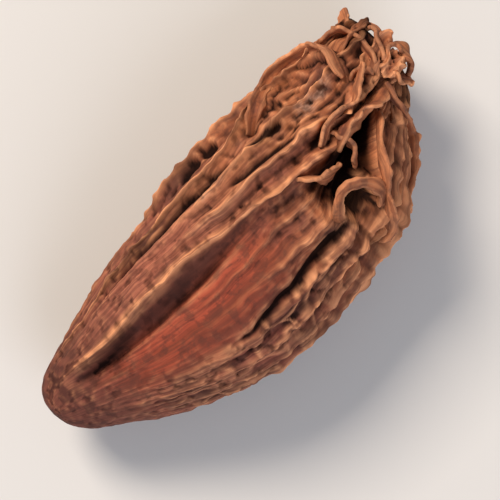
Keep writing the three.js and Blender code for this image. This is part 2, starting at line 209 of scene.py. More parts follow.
# The ridges that the shoulder's strips grow from, in millimetres: how far each is below its strip,
# how steeply it falls off, how wide its round top is, how far it reaches, and the share of the length
# past which there are any. Each is knobby, by the height and the size given.
ROOT_SINK = 0.15
ROOT_SLOPE = 3.4
ROOT_ROUND = 0.2
ROOT_REACH = 1.3
ROOTS_FROM = 0.62
ROOT_KNOB_HEIGHT = 0.14
ROOT_KNOB_SIZE = 0.8

# Regions of the husk: middle angle and half width in degrees, and the stretch of the length. The hump is
# the pale swelling on the far side of the band.
PANEL = (98, 23, 0.03, 0.64)
SPLIT = (104, 15, 0.63, 0.93)
HUMP = (50, 19, 0.4, 0.84)
# The painted highlight: pale grey-pink patches on the smooth top, each a middle angle, half width and
# stretch.
SHEEN_PATCHES = ((52, 9, 0.73, 0.87), (49, 5, 0.48, 0.58))

# The raised band beside the panel: its middle in degrees at each fifth of the length, half width, stretch.
BAND_MIDDLE = (48, 49, 56, 67, 80, 90)
BAND_HALF_WIDTH = 13
BAND_STRETCH = (0.04, 0.85)

# The shade in the panel's groove: the angle at which it ends, at each fifth of the length, and its stretch.
SHADE_END = (78, 76, 78, 98, 108, 108)
SHADE_STRETCH = (0.05, 0.72)

# The flank below the panel: the angles at which it begins and ends, each from and to, and its stretch.
FLANK_BEGINS = (113, 124)
FLANK_ENDS = (172, 190)
FLANK_STRETCH = (0.02, 0.9)

# Low relief: heights in millimetres, and the sizes of its forms along, across and up, in millimetres.
BROAD_WRINKLE_HEIGHT = 0.13
BROAD_WRINKLE_SIZE = (8, 1.5, 1.5)
FINE_WRINKLE_HEIGHT = 0.07
FINE_WRINKLE_SIZE = (4.5, 0.7, 0.7)
WRINKLED_PATCH_SIZE = (6, 3.5, 3.5)
FOLD_HEIGHT = 0.07
FOLD_SIZE = (0.9, 1.2, 1.2)
CRUMPLE_HEIGHT = 0.04
CRUMPLE_HEIGHT_AT_CROWN = 0.17
CRUMPLE_SIZE = (1.5, 1.0, 1.0)
PIT_DEPTH = 0.07
PIT_SIZE = (0.75, 0.5, 0.5)
VEIN_HEIGHT = 0.13
VEIN_MESH_SIZE = (2.1, 1.3, 1.3)
VEIN_THREAD = 0.4

# The slope past which a wall is steep: its relief fades out, or it would be drawn out into ribs.
STEEP_SLOPE = 2

# The radius at which the lengthwise grain is spread out, so that its lines run together at both ends.
GRAIN_RADIUS = 6.0

# How finely the husk is meshed: columns between two wings, above and below, and rows from end to end.
TOP_COLUMNS = 24
UNDER_COLUMNS = 14
ROWS = 264
PIT_ROWS = 20

# How many points stand for a smooth curve where lengths and distances are measured along it.
OUTLINE_SAMPLES = 4000
WIDTH_SAMPLES = 800
LINE_SAMPLES = 240

# The least radius, in millimetres, that the husk's slopes and the wings' lean are worked out with.
LEAST_RADIUS = 0.4

# The rise over its near and its far surroundings, in millimetres, at which a point gets the full painted
# highlight; sunk as far, the full painted shade.
NEAR_RISE = 0.12
FAR_RISE = 0.5

# The masks that the husk's material reads from every piece.
# furrow darkens the husk with painted shade in its hollows, slits, pits, split and crown pit.
MASKS = ("wear_and_highlight", "furrow", "panel", "band", "sheen_patch", "base", "crown")

# Patterns in the husk's colour, in millimetres: the widths of its fibres and streaks, the sizes of its
# blotches, specks and dust, and the depth of the bump. Along the fibres the pattern changes more slowly
# than across them, by the rhythm.
FIBRE_WIDTH = 0.28
STREAK_WIDTH = 1.1
FIBRE_RHYTHM = 0.09
BLOTCH_SIZE = 2.4
SPECK_SIZE = 0.8
DUST_SIZE = 0.45
BUMP_DEPTH = 0.07

# The stage, in metres: the lights' places and widths, and the floor's width. The key light comes from the
# picture's upper left, which is the pod's +Y side. The camera's lens is in millimetres.
KEY_PLACE = (0.02, 0.30, 0.30)
KEY_WIDTH = 0.16
KEY_COLOUR = "#FFF4E8"
FILL_PLACE = (-0.12, -0.30, 0.25)
FILL_WIDTH = 0.30
FILL_COLOUR = "#E8EEFF"
ROOM_COLOUR = "#DEE1E8"
ROOM_STRENGTH = 0.35
FLOOR_WIDTH = 1.2
CAMERA_LENS = 250


def chance(a, b):
    """A repeatable number from 0 to 1 for two whole numbers."""
    value = math.sin(a * 12.9898 + b * 78.233) * 43758.5453
    return value - math.floor(value)


def wander(seed, share):
    """A smooth wander of about -1 to 1 along the pod, different for each seed."""
    total = 0.0
    for octave in (1, 2, 3):
        cycles = 1.7 * octave * octave + chance(seed, octave + 7)
        total = total + np.sin(2 * math.pi * (cycles * share + chance(seed, octave))) / octave
    return total / 1.4


def smoothstep(value, low, high):
    """0 up to low, 1 from high, and a smooth rise between them."""
    t = np.clip((value - low) / (high - low), 0, 1)
    return t * t * (3 - 2 * t)


def along(values, share):
    """The value at a share of the length, on a smooth curve through evenly spaced values."""
    values = np.asarray(values, dtype=float)
    last = len(values) - 1
    place = np.clip(share, 0, 1) * last
    index = np.minimum(np.floor(place), last - 1).astype(int)
    before, start, end, after = (values[np.clip(index + step, 0, last)] for step in (-1, 0, 1, 2))
    t = place - index
    slope_in = (end - before) / 2
    slope_out = (after - start) / 2
    rise = end - start
    square = 3 * rise - 2 * slope_in - slope_out
    cubic = slope_in + slope_out - 2 * rise
    return start + t * (slope_in + t * (square + t * cubic))


def stretch(share, low, high):
    """1 in the middle of a stretch of the length, falling smoothly to 0 at its ends."""
    rise = smoothstep(share, low, low + 0.35 * (high - low))
    return rise * (1 - smoothstep(share, high - 0.3 * (high - low), high))


def patch(share, angle, middle, half_width, low, high):
    """1 inside a patch of the husk, falling smoothly to 0 at its sides and at the ends of its stretch."""
    return np.exp(-(((angle - middle) / half_width) ** 4)) * stretch(share, low, high)


def under_wings():
    """The wings underneath are spread evenly, with a little chance in their places."""
    gap = (UNDER_WINGS_TO - UNDER_WINGS_FROM) / (UNDER_WING_COUNT + 1)
    wings = []
    for i in range(1, UNDER_WING_COUNT + 1):
        middle = UNDER_WINGS_FROM + gap * i + 6 * (chance(i, 3) - 0.5)
        angle = tuple(middle + turn for turn in (-4, -2, 0, 1, 0, -3))
        wings.append((angle, UNDER_WING_HEIGHT, chance(i, 4) - 0.5, UNDER_FURROW))
    return tuple(wings)


WINGS = TOP_WINGS + under_wings()


def wing_angle(number, share):
    """The angle of a wing at a share of the length, with a wander of its own."""
    swing = (0.8 + 1.6 * share) * np.minimum(1, 12 * share)
    if number == STEADY_WING:
        swing = STEADY_SWING * swing
    return along(WINGS[number][0], share) + swing * wander(number, share)


def wing_height(number, share):
    """The height of a wing at a share of the length, uneven and toothed as a dry edge is."""
    teeth = np.sin(2 * math.pi * ((9 + 3 * chance(number, 5)) * share + wander(number + 60, share)))
    uneven = 0.85 + 0.28 * wander(number + 40, 1.8 * share) + 0.12 * share * teeth
    return along(WINGS[number][1], share) * uneven


def broad_relief(share, angle):
    """How far the husk is raised or sunk at an angle, before the wings."""
    height = 0.0
    for middle, half_width, rise, low, high in BROAD_FORMS:
        height = height + rise * patch(share, angle, middle, half_width, low, high)
    return height


def torn_slits(share, angle):
    """The depth of the slits at an angle: they wander a little and run out to points."""
    depth = 0.0
    for number, (first, last, half_width, drop, low, high) in enumerate(SLITS):
        open_here = np.sqrt(stretch(share, low, high))
        centre = first + (last - first) * np.clip((share - low) / (high - low), 0, 1)
        away = (angle - centre - 1.5 * wander(number + 80, share)) / (half_width * (0.3 + 0.7 * open_here))
        depth = depth + drop * np.exp(-(away ** 2)) * open_here
    return depth


def strand_roots(rows, half, angle, extra):
    """Raises the husk under the strips of the shoulder, so that each grows out of it as a ridge."""
    near_crown = rows[:, 0] > ROOTS_FROM
    flat = pod_point(rows, half, angle, 0)[near_crown]
    raised = extra[near_crown]
    for path in SHOULDER_PATHS:
        line = curve_point(path, np.linspace(0, 1, LINE_SAMPLES))
        centre = pod_point(line[:, 0], half_width_at(np.minimum(line[:, 0], RIM_SHARE)), line[:, 1], 0)
        best = np.full(flat.shape[:-1], np.inf)
        height = np.zeros_like(best)
        for point, rise in zip(centre, line[:, 2]):
            distance = np.linalg.norm(flat - point, axis=-1)
            height = np.where(distance < best, rise, height)
            best = np.minimum(best, distance)
        knobby = ROOT_KNOB_HEIGHT * rough(flat, ROOT_KNOB_SIZE)
        ridge = height + knobby - ROOT_SINK - ROOT_SLOPE * (np.hypot(best, ROOT_ROUND) - ROOT_ROUND)
        raised = np.where(best < ROOT_REACH, np.maximum(raised, ridge), raised)
    extra = extra.copy()
    steep = np.abs(raised - extra[near_crown]) > 0
    extra[near_crown] = raised
    extra[near_crown] = np.where(steep, soften(extra, 4)[near_crown], raised)
    return extra


def curve_point(points, t):
    """A point on the smooth curve through evenly spaced points, for t from 0 to 1 (an array)."""
    points = np.asarray(points, dtype=float)
    last = len(points) - 1
    place = np.clip(t, 0, 1) * last
    index = np.minimum(np.floor(place), last - 1).astype(int)
    w = (place - index)[..., None]
    before, start, end, after = (points[np.clip(index + step, 0, last)] for step in (-1, 0, 1, 2))
    slope_in = (end - before) / 2
    slope_out = (after - start) / 2
    cubic = 2 * start - 2 * end + slope_in + slope_out
    square = -3 * start + 3 * end - 2 * slope_in - slope_out
    return ((cubic * w + square) * w + slope_in) * w + start


def half_width_at(share):
    """The half width outside the crown's rim."""
    up_to_rim = np.linspace(0, (RIM_POINT - 0.5) / (len(OUTLINE) - 1), WIDTH_SAMPLES)
    samples = curve_point(OUTLINE, up_to_rim)
    return np.interp(share, samples[:, 0], samples[:, 1])


def pod_point(share, half, angle, extra):
    """The point at a share of the length and an angle, a height in millimetres over the smooth husk."""
    share, half, angle, extra = np.broadcast_arrays(share, half, angle, extra)
    turn = np.radians(angle)
    lobes = 1 + LOBE_SHARE * np.cos(np.radians(3 * (angle - LOBE_ANGLE)))
    radius = (half * POD_WIDTH + extra) * lobes
    return SHIFT + np.stack((
        (share - 0.5) * POD_LENGTH,
        along(SIDE_SHIFT, share) + radius * np.cos(turn),
        along(HEIGHT_SHIFT, share) + radius * DEPTH_TO_WIDTH * np.sin(turn),
    ), axis=-1)


def rough(points, size, octaves=2):
    """Noise of about -1 to 1 at points in millimetres; size is the width of its forms on each axis."""
    places = (points / np.asarray(size, dtype=float)).reshape(-1, 3).tolist()
    values = [noise.fractal(place, 1.0, 2.0, octaves) for place in places]
    return np.array(values).reshape(points.shape[:-1])


def creased(points, size):
    """Like rough, but with sharp ridges at 1 and round hollows down to about 0."""
    return 1 - np.minimum(1, 2.5 * np.abs(rough(points, size, 1)))


def net(points, size, thread):
    """1 on the threads of an uneven net, 0 in its meshes; thread is half a thread's share of a mesh."""
    places = (points / np.asarray(size, dtype=float)).reshape(-1, 3).tolist()
    gaps = []
    for place in places:
        near = noise.voronoi(place, distance_metric="DISTANCE", exponent=2.5)[0]
        gaps.append(near[1] - near[0])
    return (1 - smoothstep(np.array(gaps), 0.0, thread)).reshape(points.shape[:-1])


def edge_noise(share, size, seed):
    """Noise along every wing's edge: a column for each wing."""
    numbers = np.arange(len(WINGS))
    shape = (len(share), len(WINGS))
    places = np.stack((
        np.broadcast_to(share[:, None] * POD_LENGTH, shape),
        np.broadcast_to(numbers[None, :] * 7.3 * size, shape),
        np.full(shape, seed * size),
    ), axis=-1)
    return rough(places, (size, size, size))


def rows_along_outline():
    """Places on the outline, evenly spaced by length outside, with the last few rows inside the pit."""
    fine = np.linspace(0, 1, OUTLINE_SAMPLES)
    outline = curve_point(OUTLINE, fine) * (POD_LENGTH, POD_WIDTH)
    length = np.concatenate(([0], np.cumsum(np.linalg.norm(np.diff(outline, axis=0), axis=1))))
    rim = np.interp(RIM_POINT / (len(OUTLINE) - 1), fine, length)
    outside = np.linspace(0, rim, ROWS - PIT_ROWS + 1)
    inside = np.linspace(rim, length[-1], PIT_ROWS + 1)[1:]
    return np.interp(np.concatenate((outside, inside)), length, fine)


def columns_round_pod():
    """For every column, the wing before it and how far it is on its way to the next wing, 0 to 1."""
    gaps, spots = [], []
    for number in range(len(WINGS)):
        count = TOP_COLUMNS if number < len(TOP_WINGS) - 1 else UNDER_COLUMNS
        even = np.arange(count) / count
        gaps.append(np.full(count, number))
        spots.append(even - 0.6 * np.sin(2 * math.pi * even) / (2 * math.pi))
    return np.concatenate(gaps), np.concatenate(spots)


def husk_regions(rows, angle):
    """How far each point is inside each region of the husk, 0 to 1, by name."""
    hump = patch(rows, angle, *HUMP)
    band = patch(rows, angle, along(BAND_MIDDLE, rows), BAND_HALF_WIDTH, *BAND_STRETCH)
    crest = wing_angle(STEADY_WING, rows)
    shade_end = along(SHADE_END, rows)
    shade = smoothstep(angle, crest + 0.5, crest + 2.5)
    shade = shade * (1 - smoothstep(angle, shade_end - 4, shade_end + 4))
    flank = smoothstep(angle, *FLANK_BEGINS) * (1 - smoothstep(angle, *FLANK_ENDS))
    return {
        "panel": patch(rows, angle, *PANEL),
        "split": patch(rows, angle, *SPLIT),
        "hump": hump,
        "band": np.maximum(band, 0.9 * hump),
        "sheen_patch": sum(patch(rows, angle, *place) for place in SHEEN_PATCHES),
        "shade": shade * stretch(rows, *SHADE_STRETCH),
        "flank": flank * stretch(rows, *FLANK_STRETCH),
        "base": 1 - smoothstep(rows, 0.05, 0.17),
        "shoulder": smoothstep(rows, 0.5, 0.8),
    }


def wings_on_grid(shape, share, gap, spot, reach):
    """The wings' relief, their rubbed edges, how far they lean over, and how torn each is at each row."""
    numbers = range(len(WINGS))
    height = np.stack([wing_height(number, share) for number in numbers], axis=1)
    height = np.maximum(height, 0) * shape.wing_height
    on_flank = np.array([FLANK_WINGS[0] <= number <= FLANK_WINGS[1] for number in numbers])
    height = height * (1 - FLANK_CALM * on_flank * (1 - smoothstep(share, 0.6, 0.8))[:, None])
    height = height * smoothstep(share, 0.03, 0.16)[:, None]
    torn = edge_noise(share, 1.3, 3) + 0.6 * edge_noise(share, 0.5, 4)
    torn = torn * (0.3 + 0.7 * smoothstep(share, 0.5, 0.85))[:, None] * (1 - 0.5 * on_flank)
    notch = smoothstep(edge_noise(share, 2.6, 5), 0.2, 0.45)
    edge_height = height * EDGE_SHARE * (1 + shape.tear * (0.9 * torn - 0.9 * notch))
    foot_height = height * (1 - EDGE_SHARE)
    ragged = (0.12 + 0.88 * smoothstep(share, 0.62, 0.88))[:, None]
    sway = ragged * (0.6 * edge_noise(share, 3.5, 6) + 0.4 * edge_noise(share, 1.4, 7))
    lean = np.array([wing[2] for wing in WINGS]) + sway

    wings, edges, leaning = 0.0, 0.0, 0.0
    for number, distance in ((gap, spot * reach), ((gap + 1) % len(WINGS), (1 - spot) * reach)):
        foot = 1 / (1 + (distance / WING_HALF_THICKNESS) ** 2.5)
        edge = np.exp(-((distance / EDGE_HALF_THICKNESS) ** 2))
        wing = foot_height[:, number] * foot + edge_height[:, number] * edge
        rubbed = np.exp(-((distance / RUBBED_HALF_WIDTH) ** 2))
        wings = wings + wing
        edges = edges + rubbed * np.minimum(1, 1.6 * height[:, number])
        leaning = leaning + wing * lean[:, number]
    return wings, edges, leaning, torn


def low_relief(rows, grain, plain, region):
    """The height of the wrinkles, folds, pits and veins in millimetres, and the pits and veins, 0 to 1."""
    shoulder, panel = region["shoulder"], region["panel"]
    patches = smoothstep(rough(plain, WRINKLED_PATCH_SIZE), -0.25, 0.35)
    wrinkles = BROAD_WRINKLE_HEIGHT * creased(grain, BROAD_WRINKLE_SIZE)
    wrinkles = wrinkles + FINE_WRINKLE_HEIGHT * creased(grain + 40, FINE_WRINKLE_SIZE)
    wrinkles = wrinkles * (0.35 + 0.65 * patches) * smoothstep(rows, 0.02, 0.3)
    wrinkles = wrinkles * (1 - 0.75 * panel) * (1 - 0.4 * region["band"] * (1 - shoulder))
    wrinkles = wrinkles * (1 + 0.8 * shoulder)
    folds = FOLD_HEIGHT * rough(plain, FOLD_SIZE) * (1 + shoulder)
    crumple = creased(plain + 20, CRUMPLE_SIZE) * (CRUMPLE_HEIGHT + CRUMPLE_HEIGHT_AT_CROWN * shoulder)
    pits = smoothstep(rough(plain + 70, PIT_SIZE), 0.15, 0.5) * (0.6 + 0.4 * patches)
    warp = 0.9 * rough(plain + 30, 1.8)[..., None]
    veins = net(grain + warp, VEIN_MESH_SIZE, VEIN_THREAD) * region["flank"]
    height = wrinkles + folds + crumple - PIT_DEPTH * pits * (1 - 0.6 * panel) + VEIN_HEIGHT * veins
    return height, pits, veins


def husk_grid(shape):
    """The husk's points, row by row, the masks that its material reads, by name, and its grain."""
    t = rows_along_outline()
    outline = curve_point(OUTLINE, t)
    share, half = outline[:, 0], np.maximum(outline[:, 1], 0)
    rows = share[:, None]
    radius = (half * POD_WIDTH)[:, None]
    least_radius = np.maximum(radius, LEAST_RADIUS)
    last_point = len(OUTLINE) - 1
    outside = (1 - smoothstep(t, (RIM_POINT - 1) / last_point, RIM_POINT / last_point))[:, None]
    near_end = smoothstep(half, 0, 0.12)[:, None] * outside

    gap, spot = columns_round_pod()
    angles = np.stack([wing_angle(number, share) for number in range(len(WINGS))], axis=1)
    angles = np.concatenate((angles, angles[:, :1] + 360), axis=1)
    here, after = angles[:, gap], angles[:, gap + 1]
    angle = here + (after - here) * spot
    region = husk_regions(rows, angle)
    wings, edges, leaning, torn = wings_on_grid(shape, share, gap, spot, radius * np.radians(after - here))

    # The grain runs lengthwise, between the wings, and closes up at both ends as they do.
    round_turn = 2 * math.pi * (gap + spot) / len(WINGS)
    grain = np.stack(np.broadcast_arrays(
        rows * POD_LENGTH, GRAIN_RADIUS * np.cos(round_turn), GRAIN_RADIUS * np.sin(round_turn)), axis=-1)
    relief, pits, veins = low_relief(rows, grain, pod_point(rows, half[:, None], angle, 0), region)

    slits = torn_slits(rows, angle)
    furrow_depth = np.array([wing[3] for wing in WINGS])[gap]
    furrows = furrow_depth * along(FURROW_PROFILE, rows) * np.sin(math.pi * spot) ** 2
    hollows = broad_relief(rows, angle) + slits - furrows
    slope = np.abs(np.gradient(hollows, axis=1) / np.gradient(np.radians(angle) * least_radius, axis=1))
    relief = relief / (1 + (slope / STEEP_SLOPE) ** 2)
    extra = near_end * (wings + hollows + shape.wrinkle_gain * relief)
    extra = strand_roots(rows, half[:, None], angle, extra)
    lean_turn = np.degrees(near_end * leaning / least_radius)
    points = pod_point(rows, half[:, None], angle + lean_turn, extra)
    points[..., 2] = np.maximum(points[..., 2], CAD_LOW[2])

    # high is how far a point stands over its surroundings, which gets a painted highlight; low is how far it
    # is sunk, which gets painted shade.
    high, low = cavity(extra, 3, 9)
    panel, split, shade = region["panel"], region["split"], region["shade"]
    rubbed = near_end * edges * (0.8 + 0.5 * torn[:, gap])
    # Pale straw: the rubbed wing edges and the veins are wear, the hump is made paler, and every point over
    # its surroundings gets a painted highlight.
    wear_and_highlight = rubbed + 0.8 * high + 0.3 * veins + 0.3 * region["hump"] * (1 - low)
    # Painted shade in the hollows, less of it in the panel and the groove; painted shade deep in the split,
    # in the pits and inside the crown's pit.
    hollow = low * (1 - 0.75 * np.maximum(shade, panel * (1 - split)))
    split_shade = 1.2 * split * smoothstep(-extra, 0.2, 0.9)
    pit_shade = 0.25 * pits * (1 - 0.8 * panel)
    crown_shade = (1 - outside) + 0.6 * smoothstep(rows, 0.9, 0.94)
    masks = {
        "wear_and_highlight": np.clip(wear_and_highlight * (1 - 0.55 * panel * (1 - split)), 0, 1),
        "furrow": np.clip(hollow + split_shade - 2 * slits + 0.22 * shade + pit_shade + crown_shade, 0, 1),
        "panel": panel * (1 - 0.7 * region["base"]),
        "band": region["band"],
        "sheen_patch": region["sheen_patch"],
        "base": region["base"],
        "crown": smoothstep(rows, 0.42, 0.75) * outside,
    }
    return points, {name: np.broadcast_to(mask, angle.shape) for name, mask in masks.items()}, grain


def cavity(extra, near, far):
    """How far each point stands over its surroundings, and how far it is sunk below them, 0 to 1."""
    over_near = (extra - soften(extra, near)) / NEAR_RISE
    over_far = (extra - soften(extra, far)) / FAR_RISE
    rise = over_near + over_far
    return np.clip(rise, 0, 1), np.clip(-rise, 0, 1)


def soften(values, steps):
    """Values averaged over their neighbours, round the pod and along it."""
    for _ in range(steps):
        values = (np.roll(values, 1, axis=1) + 2 * values + np.roll(values, -1, axis=1)) / 4
        padded = np.pad(values, ((1, 1), (0, 0)), mode="edge")
        values = (padded[:-2] + 2 * values + padded[2:]) / 4
    return values


def new_name(name):
    """Names the new active object and its mesh."""
    piece = bpy.context.object
    piece.name = name
    piece.data.name = name
    return piece


def read_points(piece):
    """The points of a new primitive, in Blender's own units."""
    points = np.empty(len(piece.data.vertices) * 3, dtype=np.float32)
    piece.data.vertices.foreach_get("co", points)
    return points.reshape(-1, 3).astype(float)


def move_points(piece, points):
    """Puts the mesh's points, in millimetres, where they belong."""
    piece.data.vertices.foreach_set("co", (np.asarray(points) * MM).astype(np.float32).ravel())
    piece.data.update()


def give_masks(piece, masks, vectors):
    """Keeps the masks and direction fields on the mesh, a value for each point, for its material."""
    for name, values in masks.items():
        layer = piece.data.attributes.new(name, "FLOAT", "POINT")
        layer.data.foreach_set("value", np.asarray(values, dtype=np.float32).ravel())
    for name, values in vectors.items():
        layer = piece.data.attributes.new(name, "FLOAT_VECTOR", "POINT")
        layer.data.foreach_set("vector", np.asarray(values, dtype=np.float32).ravel())


def crown_masks(wear_and_highlight, furrow):
    """The masks of a loose piece of the crown or the shoulder."""
    masks = {name: np.full_like(wear_and_highlight, name == "crown") for name in MASKS}
    masks["wear_and_highlight"] = np.clip(wear_and_highlight, 0, 1)
    # The second mask of a loose piece is painted shade.
    masks["furrow"] = np.clip(furrow, 0, 1)
    return masks


def finish_piece(piece, material):
    """Smooth faces, the material, and the piece's place in the table of bodies."""
    bpy.ops.object.select_all(action="DESELECT")
    bpy.context.view_layer.objects.active = piece
    piece.select_set(True)
    bpy.ops.object.shade_smooth()
    piece.data.materials.clear()
    piece.data.materials.append(material)
    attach(piece, BODY)
    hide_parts(NODE)


def make_husk(shape, material):
    """The whole husk: a sphere whose rows follow the outline and whose columns follow the wings."""
    points, masks, grain = husk_grid(shape)
    rows, columns = points.shape[0] - 1, points.shape[1]
    bpy.ops.object.select_all(action="DESELECT")
    bpy.ops.mesh.primitive_uv_sphere_add(segments=columns, ring_count=rows, radius=1)
    husk = new_name("husk")
    ball = read_points(husk)
    row = np.rint(np.arccos(np.clip(ball[:, 2], -1, 1)) / math.pi * rows).astype(int)
    column = np.rint(-np.arctan2(ball[:, 1], ball[:, 0]) / (2 * math.pi) * columns).astype(int) % columns
    points[0], points[-1] = points[0].mean(axis=0), points[-1].mean(axis=0)
    move_points(husk, points[row, column])
    masks = {name: mask[row, column] for name, mask in masks.items()}
    give_masks(husk, masks, {"grain": grain[row, column]})
    finish_piece(husk, material)
    return husk


def over_husk(path):
    """A strip's line from (share, angle, height) points, with the point of the centre line under each."""
    share, angle, height = (np.array(column, dtype=float) for column in zip(*path))
    line = pod_point(share, half_width_at(np.minimum(share, RIM_SHARE)), angle, height)
    return line, pod_point(share, 0, angle, 0), height


def from_middle(path):
    """A strip's line from (x, y, z) points about the middle; it stands upright on the husk."""
    line = np.array(path) + SHIFT
    return line, line - (0, 0, POD_WIDTH), np.full(len(line), 0.3)


def thin_ends(share):
    """A taper for a strip that gets narrower at both its ends, by this share of its width."""
    return lambda t: 1 - share * (2 * t - 1) ** 4


def make_strip(name, line, shape, seed, width, on_edge, cup, steps=44, taper=np.ones_like, stout=1):
    """A strip of dry husk bent along a line: a grid, given its thickness and smoothed."""
    bpy.ops.object.select_all(action="DESELECT")
    bpy.ops.mesh.primitive_grid_add(x_subdivisions=steps, y_subdivisions=6, size=1)
    strip = new_name(name)
    flat = read_points(strip)
    along_strip, across = flat[:, 0] + 0.5, 2 * flat[:, 1]

    points, middle, height = line
    centre = curve_point(points, along_strip)
    nearby = 0.01
    ahead = curve_point(points, np.minimum(along_strip + nearby, 1))
    ahead = ahead - curve_point(points, np.maximum(along_strip - nearby, 0))
    ahead /= np.linalg.norm(ahead, axis=1, keepdims=True)
    out = centre - curve_point(middle, along_strip)
    out -= ahead * np.sum(out * ahead, axis=1, keepdims=True)
    out /= np.linalg.norm(out, axis=1, keepdims=True)
    side = np.cross(ahead, out)
    broad, deep = (out, side) if on_edge else (side, out)
    nothing = np.zeros_like(across)
    twist_spots = np.stack((along_strip * 5, nothing + seed, nothing), axis=1)
    twist = 0.9 * rough(twist_spots, 1.6)[:, None]
    broad, deep = broad * np.cos(twist) + deep * np.sin(twist), deep * np.cos(twist) - broad * np.sin(twist)

    length = np.linalg.norm(np.diff(points, axis=0), axis=1).sum()
    spots = np.stack((along_strip * length, across * 0.6, nothing + seed * 3.7), axis=1)
    frays = 0.5 * rough(spots, (0.9, 3.0, 1.0)) + 0.45 * rough(spots + 60, (0.35, 1.5, 1.0))
    half = 0.5 * width * taper(along_strip) * (1 + shape.tear * frays)
    bend = cup * (across ** 2 - 0.3) * half + 0.2 * rough(spots + 9, (1.6, 1.4, 1.0))
    place = centre + broad * (across * half)[:, None] + deep * bend[:, None]
    place[:, 2] = np.maximum(place[:, 2], CAD_LOW[2] + shape.strip_thickness / MM)
    move_points(strip, place)

    rim = smoothstep(np.abs(across), 0.3, 1.0)
    streak = rough(spots + 20, (6.0, 0.35, 1.0))
    root = np.interp(along_strip, np.linspace(0, 1, len(height)), height)
    # Paler edges and streaks are wear; painted shade where the strip lies low over the husk.
    masks = crown_masks(0.15 + 0.5 * rim + 0.5 * streak, 0.4 - 1.2 * root)
    grain = np.stack((along_strip * length, across * half, nothing), axis=1)
    give_masks(strip, masks, {"grain": grain})
    apply_modifier(strip, "SOLIDIFY", thickness=stout * shape.strip_thickness, offset=0)
    apply_modifier(strip, "SUBSURF", levels=1, render_levels=1)
    return strip


def apply_modifier(piece, kind, **settings):
    bpy.ops.object.select_all(action="DESELECT")
    bpy.context.view_layer.objects.active = piece
    piece.select_set(True)
    modifier = piece.modifiers.new(kind.title(), kind)
    for name, value in settings.items():
        setattr(modifier, name, value)
    bpy.ops.object.modifier_apply(modifier=modifier.name)


def join(pieces, name):
    """Several strips as one piece."""
    bpy.ops.object.select_all(action="DESELECT")
    for piece in pieces:
        piece.select_set(True)
    bpy.context.view_layer.objects.active = pieces[0]
    bpy.ops.object.join()
    return new_name(name)


def make_knot(shape):
    """The lump in the crown that the knot's arms grow from."""
    bpy.ops.object.select_all(action="DESELECT")
    bpy.ops.mesh.primitive_uv_sphere_add(segments=72, ring_count=40, radius=1)
    knot = new_name("knot")
    points = read_points(knot)
    lumps = creased(points + 5, 0.8) + 0.5 * creased(points + 9, 0.4)
    points = points * np.array(KNOT_SIZE) * (0.6 + 0.45 * lumps)[:, None]
    move_points(knot, points + KNOT_MIDDLE + SHIFT)
    # Paler towards the lumps' tops, and painted shade in the hollows between them.
    masks = crown_masks(smoothstep(lumps, 0.6, 1.2), 1 - smoothstep(lumps, 0.1, 0.6))
    give_masks(knot, masks, {"grain": points})
    return knot


def crown_tip_path(number):
    """The same path as the solid's tip: up from the shoulder, past the rim, and out or in over the pit."""
    angle = 360 * (number + 0.4 * chance(number, 11)) / CROWN_TIP_COUNT
    turn = 1 if chance(number, 14) > 0.5 else -1
    top = 0.965 + 0.035 * chance(number, 13)
    bend = 0.2 if chance(number, 12) > 0.4 else -0.35
    return (
        (0.87, angle - 6 * turn, -0.3),
        (0.915, angle, 0.25),
        (0.945, angle + 4 * turn, 0.2),
        (top - 0.012, angle + 10 * turn, 0.2 + bend),
        (top, angle + 18 * turn, 0.2 + 1.8 * bend),
    )


# Colours and finishes.

def linear(colour):
    """An sRGB hex colour as the linear red, green, blue and alpha that a shader reads."""
    channels = [int(colour[i:i + 2], 16) / 255 for i in (1, 3, 5)]
    return tuple(c / 12.92 if c <= 0.04045 else ((c + 0.055) / 1.055) ** 2.4 for c in channels) + (1.0,)


def add_node(material, kind, links=None, **settings):
    """Adds a node; settings name its properties or, with a number or a colour, its input sockets."""
    node = material.node_tree.nodes.new(kind)
    for name, value in settings.items():
        setattr(node, name, value)
    for socket, value in (links or {}).items():
        if isinstance(value, bpy.types.NodeSocket):
            material.node_tree.links.new(value, node.inputs[socket])
        else:
            node.inputs[socket].default_value = value
    return node


